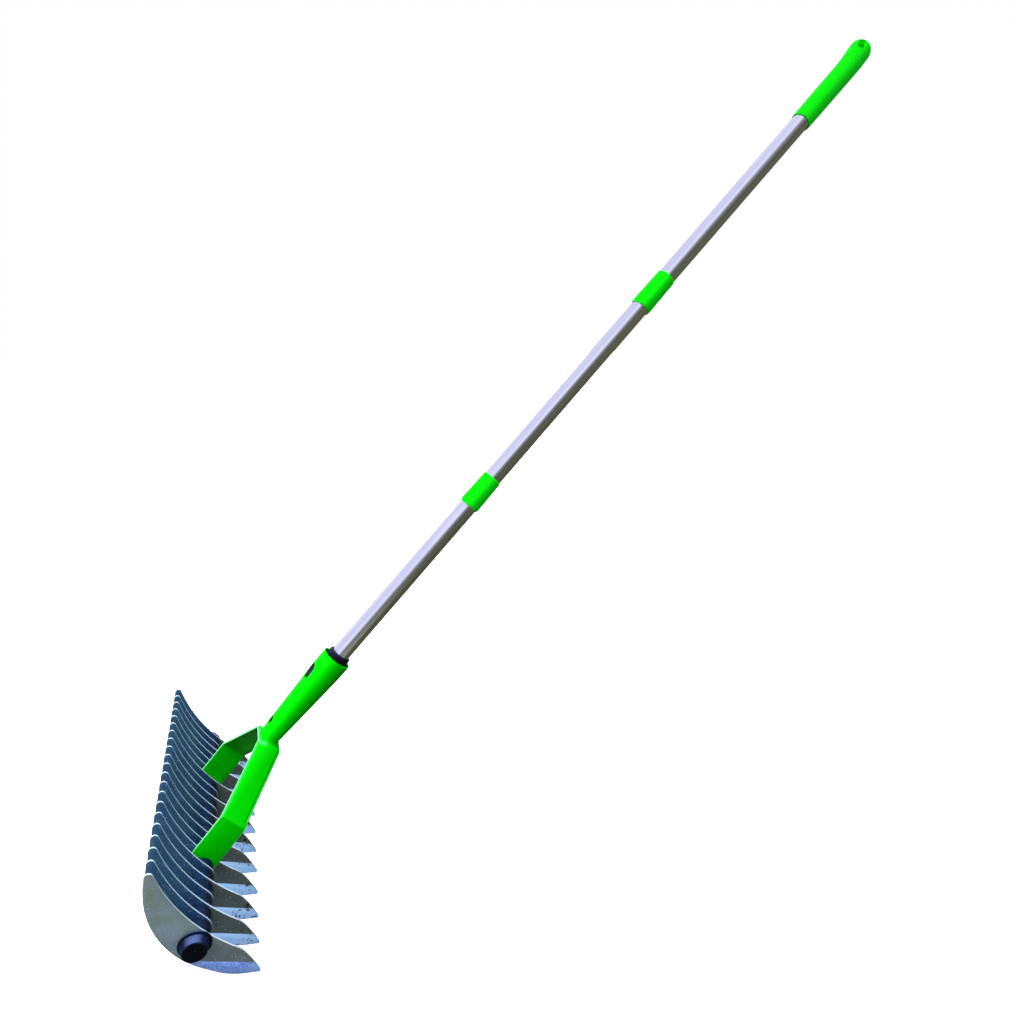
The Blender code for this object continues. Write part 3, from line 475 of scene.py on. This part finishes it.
def edge_group():
    """Shades a mesh smooth, apart from edges that turn by more than the sharp edge's angle."""
    group = bpy.data.node_groups.new("Smooth with sharp edges", "GeometryNodeTree")
    group.interface.new_socket("Geometry", in_out="INPUT", socket_type="NodeSocketGeometry")
    group.interface.new_socket("Geometry", in_out="OUTPUT", socket_type="NodeSocketGeometry")
    source = group.nodes.new("NodeGroupInput")
    target = group.nodes.new("NodeGroupOutput")
    faces = group.nodes.new("GeometryNodeSetShadeSmooth")
    faces.domain = "FACE"
    angle = group.nodes.new("GeometryNodeInputMeshEdgeAngle")
    sharp = group.nodes.new("FunctionNodeCompare")
    sharp.data_type = "FLOAT"
    sharp.operation = "GREATER_THAN"
    sharp.inputs[1].default_value = SHARP_EDGE_ANGLE
    edges = group.nodes.new("GeometryNodeSetShadeSmooth")
    edges.domain = "EDGE"
    edges.inputs["Shade Smooth"].default_value = False
    group.links.new(source.outputs[0], faces.inputs["Geometry"])
    group.links.new(faces.outputs[0], edges.inputs["Geometry"])
    group.links.new(angle.outputs["Unsigned Angle"], sharp.inputs[0])
    group.links.new(sharp.outputs[0], edges.inputs["Selection"])
    group.links.new(edges.outputs[0], target.inputs[0])
    return group


def dress(name, material, edge_round):
    """Gives a CAD node its material, welds it, rounds its edges and shades its round faces smooth."""
    node = nodes[name]
    node.data.materials.clear()
    node.data.materials.append(material)
    for stored in [a for a in node.data.attributes if a.name == "custom_normal"]:
        node.data.attributes.remove(stored)
    weld = node.modifiers.new("Weld", "WELD")
    weld.merge_threshold = WELD_DISTANCE
    if edge_round:
        bevel = node.modifiers.new("Round edges", "BEVEL")
        bevel.width = edge_round
        bevel.segments = 2
        bevel.limit_method = "ANGLE"
        bevel.angle_limit = ROUNDED_EDGE_ANGLE
    smooth = node.modifiers.new("Smooth", "NODES")
    smooth.node_group = smooth_group


def make_sun():
    """The soft key light, which mirrors don't show."""
    data = bpy.data.lights.new("key", "SUN")
    data.energy = SUN_STRENGTH
    data.angle = SUN_WIDTH
    light = bpy.data.objects.new("key", data)
    bpy.context.scene.collection.objects.link(light)
    light.rotation_mode = "QUATERNION"
    light.rotation_quaternion = SUN_SIDE.to_track_quat("Z", "Y")
    light.visible_glossy = False


def make_floor():
    """A white floor that keeps a faint shadow; to the object it is dark, as the lawn is in the photograph."""
    mesh = bpy.data.meshes.new("floor")
    half = FLOOR_SIZE / 2
    corners = [(-half, -half, 0), (half, -half, 0), (half, half, 0), (-half, half, 0)]
    mesh.from_pydata(corners, [], [(0, 1, 2, 3)])
    floor = bpy.data.objects.new("floor", mesh)
    bpy.context.scene.collection.objects.link(floor)
    floor.location = (HEAD.x, HEAD.y, HEAD.z - FLOOR_DROP)
    graph = Graph("pale_floor", 0.9, specular=0.0)
    seen = graph.node("ShaderNodeLightPath").outputs["Is Camera Ray"]
    pale = graph.mix(graph.noise(scale=3, detail=2), *FLOOR_PALE)
    graph.surface("Base Color", graph.mix(seen, FLOOR_BOUNCE, pale))
    graph.surface("Emission Color", (1, 1, 1, 1))
    graph.surface("Emission Strength", graph.times(seen, FLOOR_GLOW))
    floor.data.materials.append(graph.material)
    floor.visible_glossy = False


class Sky(Tree):
    """Short names for building the world's nodes."""

    def __init__(self, world):
        super().__init__(world)
        self.tree.nodes.clear()
        self.way = self.node("ShaderNodeTexCoord").outputs["Generated"]
        self.path = self.node("ShaderNodeLightPath")

    def towards(self, direction):
        """How much a ray's way is along a direction: 1 along it, 0 square to it, -1 against it."""
        made = self.node("ShaderNodeVectorMath", operation="DOT_PRODUCT")
        self.put(made.inputs[0], self.way)
        self.put(made.inputs[1], Vector(direction).normalized())
        return made.outputs["Value"]

    def ramp(self, value, stops):
        """A colour ramp over -1 to 1 from (value, colour) stops."""
        half = self.node("ShaderNodeMath", operation="MULTIPLY_ADD")
        self.put(half.inputs[0], value)
        self.put(half.inputs[1], 0.5)
        self.put(half.inputs[2], 0.5)
        made = self.node("ShaderNodeValToRGB")
        self.put(made.inputs["Fac"], half.outputs[0])
        elements = made.color_ramp.elements
        for place, colour in stops[1:-1]:
            elements.new(place / 2 + 0.5)
        for element, (place, colour) in zip(elements, stops):
            element.position = place / 2 + 0.5
            element.color = (*colour, 1)
        return made.outputs["Color"]

    def light(self, colour):
        made = self.node("ShaderNodeBackground")
        self.put_colour(made.inputs["Color"], colour)
        return made.outputs[0]

    def choose(self, share, first, second):
        made = self.node("ShaderNodeMixShader")
        for socket, value in zip(made.inputs, (share, first, second)):
            self.put(socket, value)
        return made.outputs[0]


def make_world():
    """White behind the object, soft light from above, and for what mirrors, a softbox and a lawn."""
    world = bpy.data.worlds.new("Studio")
    bpy.context.scene.world = world
    sky = Sky(world)
    soft = sky.light(sky.ramp(sky.towards((0, 0, 1)), SOFT_LIGHT))
    mirrored = sky.ramp(sky.towards(SOFTBOX_SIDE), MIRRORED)
    for direction, stops in MIRRORED_SCREENS:
        mirrored = sky.mix(1, mirrored, sky.ramp(sky.towards(direction), stops), blend="ADD")
    lit = sky.choose(sky.path.outputs["Is Glossy Ray"], soft, sky.light(mirrored))
    seen = sky.choose(sky.path.outputs["Is Camera Ray"], lit, sky.light((1, 1, 1)))
    output = sky.node("ShaderNodeOutputWorld")
    sky.put(output.inputs["Surface"], seen)


def make_camera():
    """The photograph's camera, placed from the rod's middle."""
    data = bpy.data.cameras.new("Camera")
    data.sensor_width = SENSOR_WIDTH
    data.sensor_fit = "HORIZONTAL"
    data.lens = LENS
    data.clip_start = NEAR_CLIP
    data.clip_end = FAR_CLIP
    camera = bpy.data.objects.new("Camera", data)
    bpy.context.scene.collection.objects.link(camera)
    back = CAMERA_RIGHT.cross(CAMERA_UP)
    turn = Matrix((CAMERA_RIGHT, CAMERA_UP, back)).transposed()
    camera.matrix_world = Matrix.Translation(HEAD + CAMERA_PLACE) @ turn.to_4x4()
    bpy.context.scene.camera = camera


bpy.context.scene.view_settings.view_transform = "Standard"
make_camera()
make_sun()
make_floor()
make_world()

smooth_group = edge_group()
blade = blade_steel()
sleeve = black_plastic("black_sleeve", SLEEVE_BLACK, 0.38, 0.08, SLEEVE_PAINTED_TOP_LIGHT)
cap = black_plastic("black_cap", CAP_BLACK, 0.36, 0.04, CAP_PAINTED_TOP_LIGHT, 0.7, CAP_PAINTED_END_SHADE)
zinc = zinc_plate()
coat = green_paint()
insert = black_plastic("black_insert", INSERT_BLACK, 0.4, painted_top_light=INSERT_PAINTED_TOP_LIGHT)
button = black_plastic("button_black", BUTTON_BLACK, 0.4)
steel = stainless_steel()
coupler = green_plastic("green_coupler", COUPLER_GREEN)
grip = green_plastic("green_grip", GRIP_GREEN)

# What the names of the pieces start with, their material and how much their edges are rounded
LOOKS = [
    (("blade_",), blade, BLADE_EDGE_ROUND),
    (("spacer_",), sleeve, 0),
    (("end_cap_",), cap, 0),
    (("tie_rod", "nut_"), zinc, 0),
    (("yoke", "socket"), coat, 0),
    (("pole_insert", "threaded_plug_"), insert, 0),
    (("lock_button",), button, 0),
    (("lower_tube", "middle_tube", "upper_tube"), steel, 0),
    (("coupler_",), coupler, 0),
    (("hand_grip",), grip, 0),
]
for name in nodes:
    for starts, material, edge_round in LOOKS:
        if name.startswith(starts):
            dress(name, material, edge_round)
